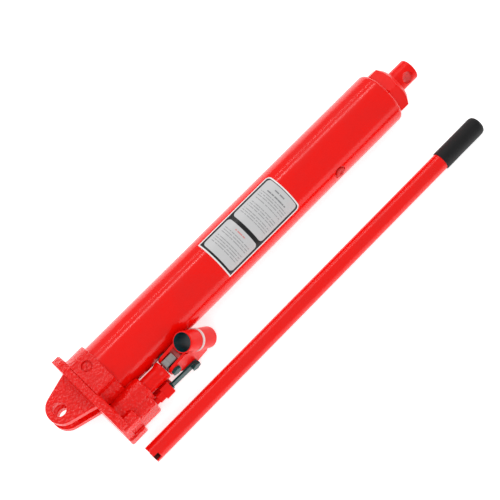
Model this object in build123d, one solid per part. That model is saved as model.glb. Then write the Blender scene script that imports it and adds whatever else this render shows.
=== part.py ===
from build123d import *
import os
from math import acos, atan2, cos, degrees, hypot, radians, sin

os.makedirs("parts", exist_ok=True)

# Long-ram hydraulic jack with a single hand pump, a clevis base and a loose handle.
# Everything is drawn standing up: X towards the pump, Y towards the back, Z along the ram,
# with the origin on the axis of the base clevis pin. lay_down() then turns each finished
# piece onto its back, which is how the jack rests: the ram runs along +Y and the front
# of the jack faces +Z.

# ---- driving dimensions, millimetres ----
pin_to_pin = 622.0
clevis_pin_radius = 9.4
clevis_tip_radius = 22.0
clevis_tip_height = 5.0
clevis_root_half = 31.0
clevis_outer_half = 17.75
clevis_gap_half = 8.25
flange_bottom = 34.0
flange_top = 46.0
flange_left = -48.0
flange_right = 81.0
flange_front = -40.0
back_face = 38.0
boss_radius = 43.0
boss_top = 75.0
tube_radius = 38.0
tube_wall = 3.5
tube_foot = 71.5
tube_top = 582.5
cylinder_bore = 20.5
cylinder_radius = 25.0
cylinder_foot = 62.0
cylinder_top = 590.0
nut_circumradius = 35.5
nut_top = 604.0
rod_radius = 15.0
rod_tip = 637.0
ram_eye_radius = 8.1
ram_eye_turn = 50.0
guide_bottom = 564.0
piston_top = 80.0
piston_bottom = 64.0
pump_x = 53.5
pump_body_radius = 17.8
pump_body_top = 94.0
neck_radius = 11.3
neck_flare_radius = 12.8
neck_top = 126.0
plunger_radius = 6.0
plunger_pin_height = 136.0
fulcrum_y = 28.0
fulcrum_z = 159.5
link_pin_y = 25.5
link_pin_z = 116.0
lug_half = 11.0
block_top = 89.5
pin_radius = 4.0
fork_inner = 7.4
fork_outer = 11.4
link_inner = 11.9
link_outer = 14.7
socket_radius = 14.0
socket_bore = 12.2
socket_length = 61.0
socket_tilt = 32.0
mouth_y = -21.5
mouth_z = 164.0
band_start = 27.0
band_width = 4.0
valve_x = 73.0
valve_y = 10.5
valve_head_radius = 8.2
valve_lug_bottom = 104.0
valve_lug_top = 117.7
relief_x = -5.5
relief_z = 60.5
filler_turn = 78.0
filler_height = 465.0
handle_x = 113.0
handle_y = 24.75
handle_foot = 40.5
handle_length = 600.5
handle_radius = 12.0
handle_bore = 8.8
grip_radius = 13.25
label_bottom = 266.0
label_top = 394.0
grip_length = 73.0
running_fit = 0.06


def lay_down(shape):
    """Turns a standing piece onto its back: Z becomes Y, and the front comes up."""
    return Rot(-90, 0, 0) * shape


def write(name, shape):
    """Writes one node as a STEP file in the laid-down frame."""
    export_step(lay_down(shape), f"parts/{name}.step")


def rod_z(x, y, radius, bottom, top):
    """A solid cylinder along Z between two heights."""
    return Pos(x, y, bottom) * Cylinder(
        radius, top - bottom, align=(Align.CENTER, Align.CENTER, Align.MIN)
    )


def rod_x(y, z, radius, left, right):
    """A solid cylinder along X between two stations."""
    return Pos(left, y, z) * Rot(0, 90, 0) * Cylinder(
        radius, right - left, align=(Align.CENTER, Align.CENTER, Align.MIN)
    )


def rod_y(x, z, radius, front, back):
    """A solid cylinder along Y between two stations."""
    return Pos(x, front, z) * Rot(-90, 0, 0) * Cylinder(
        radius, back - front, align=(Align.CENTER, Align.CENTER, Align.MIN)
    )


def box(x0, x1, y0, y1, z0, z1):
    """An axis-aligned block from its two corners."""
    return Pos((x0 + x1) / 2, (y0 + y1) / 2, (z0 + z1) / 2) * Box(x1 - x0, y1 - y0, z1 - z0)


def ring_z(x, y, outer, inner, bottom, top):
    """A plain ring along Z."""
    return rod_z(x, y, outer, bottom, top) - rod_z(x, y, inner, bottom - 1, top + 1)


def turned(profile):
    """Revolves closed (radius, height) points about the Z axis."""
    sketch = Plane.XZ * Polygon(*profile, align=None)
    return revolve(sketch, Axis.Z)


def spring(coil_radius, wire_radius, height, turns):
    """An open coil spring standing on Z, its coil centre line starting at height zero."""
    path = Helix(pitch=height / turns, height=height, radius=coil_radius)
    start = Plane(origin=path @ 0, z_dir=path % 0)
    return sweep(start * Circle(wire_radius), path=path, is_frenet=True)


def tangent_point(px, pz, cx, cz, radius):
    """The lower right tangent point from (px, pz) to a circle about (cx, cz)."""
    reach = hypot(px - cx, pz - cz)
    bearing = atan2(pz - cz, px - cx) - acos(radius / reach)
    return cx + radius * cos(bearing), cz + radius * sin(bearing)


# ---- base casting: clevis ears, flange, tube boss, pump block, link lug ----
def clevis_ears():
    """Two flared ears with round ends either side of the clevis gap."""
    touch_x, touch_z = tangent_point(
        clevis_root_half, flange_bottom, 0, clevis_tip_height, clevis_tip_radius
    )
    outline = Polygon(
        (-clevis_root_half, flange_bottom + 1),
        (-clevis_root_half, flange_bottom),
        (-touch_x, touch_z),
        (touch_x, touch_z),
        (clevis_root_half, flange_bottom),
        (clevis_root_half, flange_bottom + 1),
        align=None,
    )
    outline = outline + Pos(0, clevis_tip_height) * Circle(clevis_tip_radius)
    thickness = clevis_outer_half - clevis_gap_half
    front = extrude(Plane.XZ.offset(clevis_gap_half) * outline, thickness)
    back = extrude(Plane.XZ.offset(-clevis_outer_half) * outline, thickness)
    ears = None
    for ear, side in ((front, 0), (back, -1)):
        rim = ear.faces().sort_by(Axis.Y)[side].outer_wire().edges()
        ear = chamfer([edge for edge in rim if edge.center().Z < flange_bottom - 1], 1.2)
        ears = ear if ears is None else ears + ear
    return ears - rod_y(0, 0, clevis_pin_radius, -20, 20)


def flange():
    """The flat plate across the foot, cut back at the front corner beside the pump."""
    corner = 14.0
    outline = Polygon(
        (flange_left, flange_front + 10),
        (flange_left + 14, flange_front),
        (68.0, flange_front),
        (flange_right, -24.0),
        (flange_right, back_face),
        (flange_left, back_face),
        align=None,
    )
    plate = extrude(Pos(0, 0, flange_bottom) * outline, flange_top - flange_bottom)
    uprights = plate.edges().filter_by(Axis.Z)
    plate = fillet(uprights.filter_by_position(Axis.Y, -50, 0), corner / 2)
    rims = plate.faces().sort_by(Axis.Z)[-1].outer_wire().edges()
    rims = [edge for edge in rims if edge.center().Y < back_face - 5]
    return chamfer(rims, 2.0)


def base_casting():
    """One iron casting with all its drilled passages."""
    body = flange() + clevis_ears()
    boss = rod_z(0, 0, boss_radius, flange_top - 1, boss_top)
    boss = boss & box(-60, 60, -41.5, 60, 0, 100)
    boss = boss + box(-20, 30.5, -41.5, 0, flange_top - 1, boss_top)
    rims = boss.faces().sort_by(Axis.Z)[-1].outer_wire().edges()
    body = body + fillet(rims, 2.0)
    outline = Polygon((36, -9), (79.6, -9), (79.6, 27), (76, 38.5), (36, 38.5), align=None)
    block = extrude(Pos(0, 0, flange_top - 1) * outline, block_top - flange_top + 1)
    corner = block.edges().filter_by(Axis.Z).filter_by_position(Axis.Y, -10, -8).sort_by(Axis.X)[-1]
    block = fillet(corner, 7.5)
    rim = block.faces().sort_by(Axis.Z)[-1].outer_wire().edges()
    body = body + chamfer([edge for edge in rim if edge.center().X > 70 and edge.center().Y < 37], 1.5)
    pump = rod_z(pump_x, 0, pump_body_radius, flange_top - 1, pump_body_top)
    body = body + chamfer(pump.faces().sort_by(Axis.Z)[-1].edges(), 1.2)
    pad = box(69, 83.5, -22, -6, flange_bottom + 3, 61.5)
    pad_edges = pad.edges().filter_by(Axis.Z).sort_by(Axis.Y)[:2]
    pad = fillet(pad_edges, 2.5)
    body = body + fillet(pad.faces().sort_by(Axis.Z)[-1].edges(), 1.5)
    lump = box(72, 83, 20, back_face, flange_bottom, 60.5)
    body = body + fillet(lump.edges().filter_by_position(Axis.X, 82, 84), 3.0)
    left = pump_x - lug_half
    right = pump_x + lug_half
    lug = box(left, right, link_pin_y - 7.5, link_pin_y + 7.5, 86, link_pin_z)
    body = body + lug + rod_x(link_pin_y, link_pin_z, 7.5, left, right)
    back_cut = box(-90, 120, back_face, back_face + 30, flange_bottom - 60, 200)
    body = body - back_cut
    # room for the reservoir tube, then the seats of both tubes
    body = body - rod_z(0, 0, tube_radius + 0.3, boss_top, 200)
    body = body - rod_z(0, 0, cylinder_radius, cylinder_foot, boss_top + 1)
    body = body - ring_z(0, 0, tube_radius, tube_radius - tube_wall, 70, boss_top + 1)
    body = body - ring_z(0, 0, tube_radius - tube_wall, cylinder_radius + 3, 72.5, boss_top + 1)
    # pump bore with its threaded seat, and the link pin hole
    body = body - rod_z(pump_x, 0, 10.0, 66, pump_body_top + 1)
    body = body - rod_z(pump_x, 0, 5.0, 52, 67)
    body = body - rod_x(link_pin_y, link_pin_z, pin_radius, 40, 70)
    # delivery: pump chamber, ball seat, ball bore, riser into the cylinder
    body = body - rod_x(0, 54, 2.2, 39, 52) - rod_x(0, 54, 4.2, -50, 40)
    body = body - rod_z(14, 0, 3.0, 54, cylinder_foot + 1)
    # suction: reservoir drop, cross passages, ball seat under the pump chamber
    body = body - rod_z(29, -12, 2.4, 45, 74) - rod_x(-12, 47, 2.4, 29, 57)
    body = body - rod_y(pump_x, 47, 2.4, -13, 0) - rod_z(pump_x, 0, 2.2, 47, 53)
    # release: cylinder floor to the valve seat, valve bore, return to the reservoir
    body = body - rod_z(14, valve_y, 2.0, 57, cylinder_foot + 1)
    body = body - rod_x(valve_y, 57, 2.0, 14, valve_x) - rod_z(valve_x, valve_y, 2.5, 55, 63)
    body = body - rod_z(valve_x, valve_y, 5.0, 62, 94) - rod_z(valve_x, valve_y, 8.8, block_top, 99)
    body = body - rod_x(valve_y, 68, 2.0, 30, valve_x) - rod_z(30, valve_y, 2.0, 67, 74)
    # relief valve bore from the front of the boss
    body = body - rod_y(relief_x, relief_z, 7.6, -45, -38.8)
    body = body - rod_y(relief_x, relief_z, 6.2, -40, -26) - rod_y(relief_x, relief_z, 2.0, -27, -23)
    return body


# ---- hydraulic cylinder ----
def reservoir_tube():
    """Outer tube with a turned-in shoulder at the top and the filler hole."""
    inner = tube_radius - tube_wall
    profile = [
        (inner, tube_foot),
        (tube_radius, tube_foot),
        (tube_radius, tube_top - 5),
        (tube_radius - 0.6, tube_top - 2.8),
        (tube_radius - 2.0, tube_top - 1.0),
        (tube_radius - 4.4, tube_top),
        (31.0, tube_top),
        (31.0, tube_top - 3.0),
        (inner, tube_top - 5.0),
    ]
    tube = turned(profile)
    hole = Rot(0, 0, filler_turn - 90) * rod_x(0, filler_height, 5.0, 30, 45)
    seat = Rot(0, 0, filler_turn - 90) * rod_x(0, filler_height, 8.6, 36.4, 45)
    return tube - hole - seat


def top_nut():
    """Hexagon gland nut that clamps the reservoir tube over the cylinder."""
    flats = RegularPolygon(nut_circumradius, 6)
    nut = extrude(Pos(0, 0, tube_top) * Rot(0, 0, -4) * flats, nut_top - tube_top)
    crown = turned([(0, tube_top), (33.2, tube_top), (36, tube_top + 2.5), (36, nut_top - 8.5),
                    (25.5, nut_top), (0, nut_top)])
    nut = nut & crown
    nut = nut + rod_z(0, 0, 30.9, tube_top - 8, tube_top)
    nut = nut - rod_z(0, 0, cylinder_radius, tube_top - 9, cylinder_top)
    nut = nut - rod_z(0, 0, rod_radius + 0.3, cylinder_top - 1, nut_top + 1)
    return nut - rod_z(0, 0, 19.0, nut_top - 5, nut_top + 1)


def rod_wiper():
    """Lipped rubber wiper pressed into the top of the gland nut."""
    lip = rod_radius + running_fit
    seat = nut_top - 5
    tip = nut_top + 2
    profile = [(lip, seat), (19.0, seat), (19.0, nut_top), (17.4, nut_top), (lip + 0.8, tip), (lip, tip)]
    return turned(profile)


def gland_guide():
    """Guide bush between the cylinder bore and the ram, with the O-ring groove."""
    bush = ring_z(0, 0, cylinder_bore, rod_radius + running_fit, guide_bottom, cylinder_top)
    bush = bush - ring_z(0, 0, 17.4, rod_radius - 1, guide_bottom + 7, guide_bottom + 10.2)
    return bush


def gland_o_ring():
    """Seal ring in the guide bush groove."""
    return Pos(0, 0, guide_bottom + 8.6) * Torus(16.25, 1.1)


def pressure_cylinder():
    """Honed steel tube that the piston runs in."""
    return ring_z(0, 0, cylinder_radius, cylinder_bore, cylinder_foot + 1, cylinder_top)


def ram_rod():
    """Steel ram with a rounded tip, a cross hole and a shouldered piston spigot."""
    rod = rod_z(0, 0, rod_radius, piston_top, rod_tip)
    rod = fillet(rod.faces().sort_by(Axis.Z)[-1].edges(), 2.4)
    rod = rod + rod_z(0, 0, 9.0, 66.5, piston_top)
    eye = rod_y(0, pin_to_pin, ram_eye_radius, -20, 20)
    return rod - Rot(0, 0, ram_eye_turn) * eye


def piston_head():
    """Piston ring on the ram spigot, running in the cylinder bore."""
    head = ring_z(0, 0, cylinder_bore - running_fit, 9.0, 71, piston_top)
    return head


def piston_cup_seal():
    """Rubber cup under the piston head, lips down towards the pressure side."""
    edge = cylinder_bore - 0.04
    inner = 9.0 + running_fit
    profile = [(inner, 70.9), (edge, 70.9), (edge, piston_bottom), (edge - 2.2, piston_bottom + 0.6),
               (edge - 4.0, 67.7), (inner, 67.7)]
    return turned(profile)


def piston_clip():
    """Retaining ring under the cup seal."""
    return ring_z(0, 0, 12.5, 9.0, 66.6, 67.6)


# ---- hand pump ----
def pump_cylinder():
    """Pump barrel: flared neck above the casting and a threaded spigot inside it."""
    profile = [
        (plunger_radius + running_fit, 66),
        (10.0, 66),
        (10.0, pump_body_top),
        (neck_radius, pump_body_top),
        (neck_radius, neck_top - 9.5),
        (neck_flare_radius, neck_top - 4.0),
        (neck_flare_radius, neck_top - 0.8),
        (neck_flare_radius - 0.8, neck_top),
        (plunger_radius + running_fit, neck_top),
        (plunger_radius + running_fit, neck_top - 5),
        (9.0, neck_top - 5),
        (9.0, neck_top - 9),
        (plunger_radius + running_fit, neck_top - 9),
    ]
    return Pos(pump_x, 0, 0) * turned(profile)


def plunger_seal():
    """U-ring in the barrel groove."""
    return ring_z(pump_x, 0, 9.0, plunger_radius + 0.05, neck_top - 9, neck_top - 5)


def pump_plunger():
    """Bright steel plunger with a flat head slotted for the drive pin."""
    stem = rod_z(pump_x, 0, plunger_radius, 68, neck_top + 2)
    stem = chamfer(stem.faces().sort_by(Axis.Z)[0].edges(), 0.8)
    head = box(pump_x - 5.5, pump_x + 5.5, -10, 10, neck_top + 1.4, neck_top + 21.5)
    head = fillet(head.edges().filter_by(Axis.X), 2.4)
    head = chamfer(head.faces().sort_by(Axis.Z)[-1].edges().filter_by(Axis.Y), 0.8)
    left = pump_x - 10
    right = pump_x + 10
    slot = rod_x(-1.7, plunger_pin_height, 4.6, left, right)
    slot = slot + rod_x(1.7, plunger_pin_height, 4.6, left, right)
    slot = slot + box(left, right, -1.7, 1.7, plunger_pin_height - 4.6, plunger_pin_height + 4.6)
    return stem + head - slot


def socket_frame():
    """Placement of the socket axis: local Z runs from the mouth to the back end."""
    return Pos(pump_x, mouth_y, mouth_z) * Rot(-(90 - socket_tilt), 0, 0)


def lever_socket():
    """Tilted tube that takes the handle."""
    tube = rod_z(0, 0, socket_radius, 0, socket_length)
    tube = tube - rod_z(0, 0, socket_bore, -1, socket_length + 1)
    rims = tube.faces().sort_by(Axis.Z)
    tube = chamfer(rims[0].edges() + rims[-1].edges(), 0.5)
    return socket_frame() * tube


def socket_band():
    """Pale plastic band round the socket."""
    end = band_start + band_width
    return socket_frame() * ring_z(0, 0, socket_radius + 1.0, socket_radius, band_start, end)


def lever_fork():
    """Two cheek plates welded under the socket, carrying both pins."""
    slope = radians(socket_tilt)
    along = (cos(slope), sin(slope))
    drop = (sin(slope), -cos(slope))
    root = []
    for run, fall in ((4.0, 11.0), (56.0, 11.0)):
        y = mouth_y + run * along[0] + fall * drop[0]
        z = mouth_z + run * along[1] + fall * drop[1]
        root.append((y, z))
    end_radius = 8.6
    bearing = atan2(fulcrum_z - plunger_pin_height, fulcrum_y)
    under = (sin(bearing) * end_radius, -cos(bearing) * end_radius)
    outline = Polygon(
        root[0],
        (-end_radius, plunger_pin_height),
        (under[0], plunger_pin_height + under[1]),
        (fulcrum_y + under[0], fulcrum_z + under[1]),
        (fulcrum_y + end_radius + 1.0, fulcrum_z + 1.0),
        root[1],
        align=None,
    )
    outline = outline + Pos(0, plunger_pin_height) * Circle(end_radius)
    outline = outline + Pos(fulcrum_y, fulcrum_z) * Circle(end_radius + 1.0)
    bore = socket_frame() * rod_z(0, 0, socket_radius, -5, socket_length + 5)
    band = socket_frame() * rod_z(0, 0, socket_radius + 1.0, band_start, band_start + band_width)
    cheeks = None
    for near, far in ((fork_inner, fork_outer), (-fork_outer, -fork_inner)):
        cheek = extrude(Plane.YZ.offset(pump_x + near) * outline, far - near)
        cheek = cheek - rod_x(0, plunger_pin_height, pin_radius, 30, 90)
        cheek = cheek - rod_x(fulcrum_y, fulcrum_z, pin_radius + running_fit, 30, 90)
        cheek = cheek - bore - band
        cheeks = cheek if cheeks is None else cheeks + cheek
    return cheeks


def headed_pin(y, z, left, right, head_left, head_right, head_radius):
    """Round pin along X with a button head on the left and a hexagon nut on the right."""
    pin = rod_x(y, z, pin_radius, left - 1, right + 1)
    head = rod_x(y, z, head_radius, head_left, left)
    head = fillet(head.faces().sort_by(Axis.X)[0].edges(), 1.0)
    nut = extrude(Plane.YZ.offset(right) * (Pos(y, z) * RegularPolygon(head_radius, 6)),
                  head_right - right)
    nut = chamfer(nut.faces().sort_by(Axis.X)[-1].edges(), 0.6)
    return pin + head + nut


def plunger_pin():
    """Drive pin through the fork cheeks and the slotted plunger head."""
    return headed_pin(0, plunger_pin_height, pump_x - fork_outer, pump_x + fork_outer,
                      pump_x - fork_outer - 2.6, pump_x + fork_outer + 4.2, 7.2)


def fulcrum_pin():
    """Pin joining the fork to the tops of both links."""
    return headed_pin(fulcrum_y, fulcrum_z, pump_x - link_outer, pump_x + link_outer,
                      pump_x - link_outer - 2.8, pump_x + link_outer + 4.5, 7.2)


def link_lower_pin():
    """Pin through the casting lug and the feet of both links."""
    reach = link_outer + 0.3
    return headed_pin(link_pin_y, link_pin_z, pump_x - reach, pump_x + reach,
                      pump_x - reach - 2.0, pump_x + reach + 2.6, 6.2)


def links():
    """Two straight link plates outside the fork."""
    plates = None
    half = 6.0
    lean = degrees(atan2(fulcrum_y - link_pin_y, fulcrum_z - link_pin_z))
    reach = hypot(fulcrum_y - link_pin_y, fulcrum_z - link_pin_z)
    for near, far in ((link_inner, link_outer), (-link_outer, -link_inner)):
        plate = box(near, far, -half, half, 0, reach)
        plate = plate + rod_x(0, 0, half, near, far) + rod_x(0, reach, half, near, far)
        plate = plate - rod_x(0, 0, pin_radius + running_fit, -30, 30)
        plate = plate - rod_x(0, reach, pin_radius, -30, 30)
        plate = Pos(pump_x, link_pin_y, link_pin_z) * Rot(-lean, 0, 0) * plate
        plates = plate if plates is None else plates + plate
    return plates


# ---- valves ----
def release_valve():
    """Screw with a conical tip and a flat cross lug that fits the notched handle."""
    stem = turned([(0, 66.5), (2.0, 68.0), (4.4, 70.4), (4.94, 71.2), (4.94, 89.8), (4.4, 90.4),
                   (4.4, 94.5), (6.0, 95.2), (6.0, 104.5), (0, 104.5)])
    stem = stem - ring_z(0, 0, 7.5, 3.7, 80, 82.4)
    lug = rod_z(0, 0, valve_head_radius, valve_lug_bottom, valve_lug_top)
    lug = lug & box(-10, 10, -4, 4, valve_lug_bottom - 1, valve_lug_top + 1)
    lug = fillet(lug.faces().sort_by(Axis.Z)[-1].edges(), 1.4)
    return Pos(valve_x, valve_y, 0) * (Rot(0, 0, 20) * (stem + lug))


def release_o_ring():
    """Seal ring in the groove of the release screw."""
    return Pos(valve_x, valve_y, 81.2) * Torus(4.32, 0.6)


def release_ball():
    """Ball closed onto its seat by the release screw."""
    return Pos(valve_x, valve_y, 63.5) * Sphere(2.9)


def check_balls():
    """Suction and delivery check balls."""
    suction = Pos(pump_x, 0, 54.7) * Sphere(3.4)
    delivery = Pos(37.3, 0, 54) * Sphere(3.4)
    return Compound(children=[suction, delivery])


def check_springs():
    """Coil springs behind the two check balls."""
    suction = Pos(pump_x, 0, 58.8) * spring(3.2, 0.5, 6.4, 4)
    delivery = Pos(24.2, 0, 54) * Rot(0, 90, 0) * spring(3.0, 0.5, 9.0, 5)
    return Compound(children=[suction, delivery])


def delivery_stop():
    """Sleeve that the delivery spring pushes against."""
    return rod_x(0, 54, 4.2, 19.5, 23.5) - rod_x(0, 54, 2.0, 19, 24)


def passage_plug():
    """Plug screwed into the outer end of the delivery bore."""
    plug = rod_x(0, 54, 4.2, -42.6, -33)
    return plug - rod_x(0, 54, 2.2, -43, -39.5)


def relief_plug():
    """Slotted plug that closes the overload valve on the front of the boss."""
    plug = rod_y(relief_x, relief_z, 6.2, -39.6, -37.0)
    plug = chamfer(plug.faces().sort_by(Axis.Y)[0].edges(), 0.6)
    return plug - Pos(relief_x, -39.6, relief_z) * Rot(0, 35, 0) * Box(16, 2.4, 1.6)


def relief_spring():
    """Overload valve spring behind the plug."""
    return Pos(relief_x, -31.9, relief_z) * Rot(90, 0, 0) * spring(3.6, 0.5, 4.5, 3)


def relief_ball():
    """Overload valve ball on its seat."""
    return Pos(relief_x, -28.3, relief_z) * Sphere(3.0)


# ---- seals between the pressure parts ----
def tube_gasket():
    """Flat ring under the reservoir tube."""
    return ring_z(0, 0, tube_radius, tube_radius - tube_wall, 70, tube_foot)


def cylinder_gasket():
    """Soft copper ring under the pressure cylinder."""
    return ring_z(0, 0, cylinder_radius, cylinder_bore, cylinder_foot, cylinder_foot + 1)


def filler_plug():
    """Rubber oil filler plug in the side of the reservoir tube."""
    stem = rod_x(0, filler_height, 5.0 - running_fit, 31.5, 37.5)
    head = rod_x(0, filler_height, 6.8, 37.0, 39.6)
    head = fillet(head.faces().sort_by(Axis.X)[-1].edges(), 1.0)
    dimple = rod_x(0, filler_height, 2.6, 39.0, 42)
    return Rot(0, 0, filler_turn - 90) * (stem + head - dimple)


def suction_strainer():
    """Perforated cup over the suction hole in the reservoir."""
    cup = rod_z(29, -12, 2.4, 66, 80) - rod_z(29, -12, 1.9, 65, 79)
    for level in (75.5, 77.5):
        cup = cup - rod_x(-12, level, 0.6, 25, 33)
    return cup


def label():
    """Thin sheet wrapped round the front of the reservoir tube."""
    half = 48.0
    facing = 18.5
    sheet = ring_z(0, 0, tube_radius + 0.25, tube_radius, label_bottom, label_top)
    keep = Polygon(
        (0, 0),
        (90 * sin(radians(facing - half)), -90 * cos(radians(facing - half))),
        (90 * sin(radians(facing)), -90 * cos(radians(facing))),
        (90 * sin(radians(facing + half)), -90 * cos(radians(facing + half))),
        align=None,
    )
    return sheet & extrude(Pos(0, 0, label_bottom - 5) * keep, label_top - label_bottom + 10)


# ---- loose handle ----
def handle_tube():
    """Steel tube with two notches in its lower end."""
    top = handle_foot + handle_length
    tube = ring_z(handle_x, handle_y, handle_radius, handle_bore, handle_foot, top)
    notch = box(-4.3, 4.3, -20, 20, handle_foot - 1, handle_foot + 7.5)
    return tube - Pos(handle_x, handle_y, 0) * Rot(0, 0, 55) * notch


def handle_grip():
    """Soft sleeve with a rounded closed end."""
    top = handle_foot + handle_length + 3
    grip = rod_z(0, 0, grip_radius, top - grip_length, top)
    grip = fillet(grip.faces().sort_by(Axis.Z)[-1].edges(), 4.0)
    grip = chamfer(grip.faces().sort_by(Axis.Z)[0].edges(), 0.8)
    core = rod_z(0, 0, handle_radius, top - grip_length - 1, top - 3)
    return Pos(handle_x, handle_y, 0) * (grip - core)


for node, builder in (
    ("base_casting", base_casting),
    ("reservoir_tube", reservoir_tube),
    ("top_nut", top_nut),
    ("rod_wiper", rod_wiper),
    ("gland_guide", gland_guide),
    ("gland_o_ring", gland_o_ring),
    ("pressure_cylinder", pressure_cylinder),
    ("ram_rod", ram_rod),
    ("piston_head", piston_head),
    ("piston_cup_seal", piston_cup_seal),
    ("piston_clip", piston_clip),
    ("pump_cylinder", pump_cylinder),
    ("plunger_seal", plunger_seal),
    ("pump_plunger", pump_plunger),
    ("lever_socket", lever_socket),
    ("socket_band", socket_band),
    ("lever_fork", lever_fork),
    ("plunger_pin", plunger_pin),
    ("fulcrum_pin", fulcrum_pin),
    ("link_lower_pin", link_lower_pin),
    ("links", links),
    ("release_valve", release_valve),
    ("release_o_ring", release_o_ring),
    ("release_ball", release_ball),
    ("check_balls", check_balls),
    ("check_springs", check_springs),
    ("delivery_stop", delivery_stop),
    ("passage_plug", passage_plug),
    ("relief_plug", relief_plug),
    ("relief_spring", relief_spring),
    ("relief_ball", relief_ball),
    ("tube_gasket", tube_gasket),
    ("cylinder_gasket", cylinder_gasket),
    ("filler_plug", filler_plug),
    ("suction_strainer", suction_strainer),
    ("label", label),
    ("handle_tube", handle_tube),
    ("handle_grip", handle_grip),
):
    write(node, builder())
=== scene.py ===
"""Looks of a red long-ram hydraulic jack and its loose pump handle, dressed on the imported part.

Sizes of new pieces are in millimetres in the jack's standing frame (X towards the pump, Y towards
the back, Z along the ram). `lay_down` turns them onto the jack's back and into metres, which is the
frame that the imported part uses.
"""

import logging
from collections.abc import Sequence
from dataclasses import dataclass
from enum import Enum

import bpy
import numpy as np
from mathutils import Matrix


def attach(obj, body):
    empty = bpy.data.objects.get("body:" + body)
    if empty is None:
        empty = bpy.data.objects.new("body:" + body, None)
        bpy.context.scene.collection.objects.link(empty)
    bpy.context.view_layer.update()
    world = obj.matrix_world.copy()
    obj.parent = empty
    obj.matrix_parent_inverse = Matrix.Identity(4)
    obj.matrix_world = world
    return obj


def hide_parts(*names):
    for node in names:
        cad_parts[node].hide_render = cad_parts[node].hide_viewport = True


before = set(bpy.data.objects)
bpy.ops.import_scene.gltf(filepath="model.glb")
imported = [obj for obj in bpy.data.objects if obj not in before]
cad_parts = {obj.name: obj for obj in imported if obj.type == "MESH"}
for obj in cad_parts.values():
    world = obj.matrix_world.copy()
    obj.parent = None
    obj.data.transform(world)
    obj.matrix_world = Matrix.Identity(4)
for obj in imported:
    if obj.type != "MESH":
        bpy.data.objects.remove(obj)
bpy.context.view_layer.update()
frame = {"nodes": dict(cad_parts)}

Colour = tuple[float, float, float]
Point = tuple[float, float, float]
Values = dict[str | int, object]

MM = 0.001
CRISP_ANGLE = np.radians(35.0)
STEEL_COLOUR: Colour = (0.56, 0.54, 0.52)
RED: Colour = (0.93, 0.0042, 0.0014)
DEEP_RED: Colour = (0.74, 0.0026, 0.001)
THIN_RED: Colour = (0.9, 0.02, 0.012)
CHROMATE: Colour = (0.002, 0.13, 0.12)
WHITE: Colour = (1.0, 1.0, 1.0)
ORIGIN: Point = (0.0, 0.0, 0.0)
RAM_AXIS: Point = (0.0, 1.0, 0.0)
PIN_AXIS: Point = (1.0, 0.0, 0.0)
SOCKET_SLOPE = np.radians(32.0)
PUMP_X = 53.5
log = logging.getLogger("jack")


class Finish(Enum):
    """The record's material slots that new pieces take."""

    CAST_RED = "cast_red_paint"
    GLOSS_RED = "gloss_red_paint"
    GRIP = "black_grip"
    LABEL = "label_sheet"


class Body(Enum):
    """The moving bodies that new pieces ride on."""

    FRAME = "frame"
    LEVER = "lever"
    HANDLE = "handle"


# ---- shared helpers ----


def lay_down(points: np.ndarray) -> np.ndarray:
    """Turns standing millimetres into the row frame: (x, y, z) becomes (x, z, -y) in metres.

    Args:
        points: Array whose last axis holds x, y and z.

    Returns:
        Array of the same shape, in metres.
    """
    x, y, z = np.moveaxis(points, -1, 0)
    return np.stack([x, z, -y], axis=-1) * MM


def quads(
    rows: int, columns: int, close_columns: bool = False, close_rows: bool = False
) -> np.ndarray:
    """Joins a grid of vertices, numbered row by row, into four-sided faces.

    Args:
        rows: Number of rows.
        columns: Number of vertices in a row.
        close_columns: Whether the last vertex of a row joins its first.
        close_rows: Whether the last row joins the first.

    Returns:
        Array of faces, four vertex numbers each.
    """
    grid = np.arange(rows * columns).reshape(rows, columns)
    if close_columns:
        grid = np.hstack([grid, grid[:, :1]])
    if close_rows:
        grid = np.vstack([grid, grid[:1]])
    corners = [grid[:-1, :-1], grid[:-1, 1:], grid[1:, 1:], grid[1:, :-1]]
    return np.stack([c.ravel() for c in corners], axis=-1)


def outward(vertices: np.ndarray, faces: np.ndarray) -> np.ndarray:
    """Turns a skin's faces outwards, by the sign of the volume that they enclose.

    The volume is the sum of the tetrahedra from the middle to each half of each face.

    Args:
        vertices: Vertex places.
        faces: Four-sided faces.

    Returns:
        The faces, each turned over if they pointed inwards.
    """
    centred = vertices - vertices.mean(axis=0)
    a, b, c, d = (centred[faces[:, i]] for i in range(4))
    first = np.einsum("ij,ij->i", a, np.cross(b, c))
    second = np.einsum("ij,ij->i", a, np.cross(c, d))
    return faces if (first + second).sum() >= 0 else faces[:, ::-1]


def add_piece(name: str, vertices: np.ndarray, faces: list[list[int]]) -> bpy.types.Object:
    """Makes one smooth-shaded object whose place is in its mesh.

    Args:
        name: The piece's name.
        vertices: Vertex places in the row frame, in metres.
        faces: Vertex numbers of each face.

    Returns:
        The new object, at the origin.
    """
    mesh = bpy.data.meshes.new(name)
    mesh.from_pydata(vertices.tolist(), [], faces)
    mesh.polygons.foreach_set("use_smooth", np.ones(len(mesh.polygons), bool))
    mesh.set_sharp_from_angle(angle=CRISP_ANGLE)
    mesh.update()
    piece = bpy.data.objects.new(name, mesh)
    bpy.context.scene.collection.objects.link(piece)
    return piece


def sweep(name: str, loops: np.ndarray) -> bpy.types.Object:
    """Skins a row of closed cross-sections and caps both ends, with its faces turned outwards.

    Args:
        name: The piece's name.
        loops: Array (stations, points in a section, 3) in standing millimetres.

    Returns:
        The new object.
    """
    stations, around, _ = loops.shape
    vertices = lay_down(loops.reshape(-1, 3))
    sides = outward(vertices, quads(stations, around, close_columns=True))
    first = np.arange(around)
    last = first + (stations - 1) * around
    runs_forward = np.any(sides[0, :2] == (0, 1)) and sides[0, 0] < sides[0, 1]
    if runs_forward:
        caps = [first[::-1].tolist(), last.tolist()]
    else:
        caps = [first.tolist(), last[::-1].tolist()]
    return add_piece(name, vertices, sides.tolist() + caps)


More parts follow.
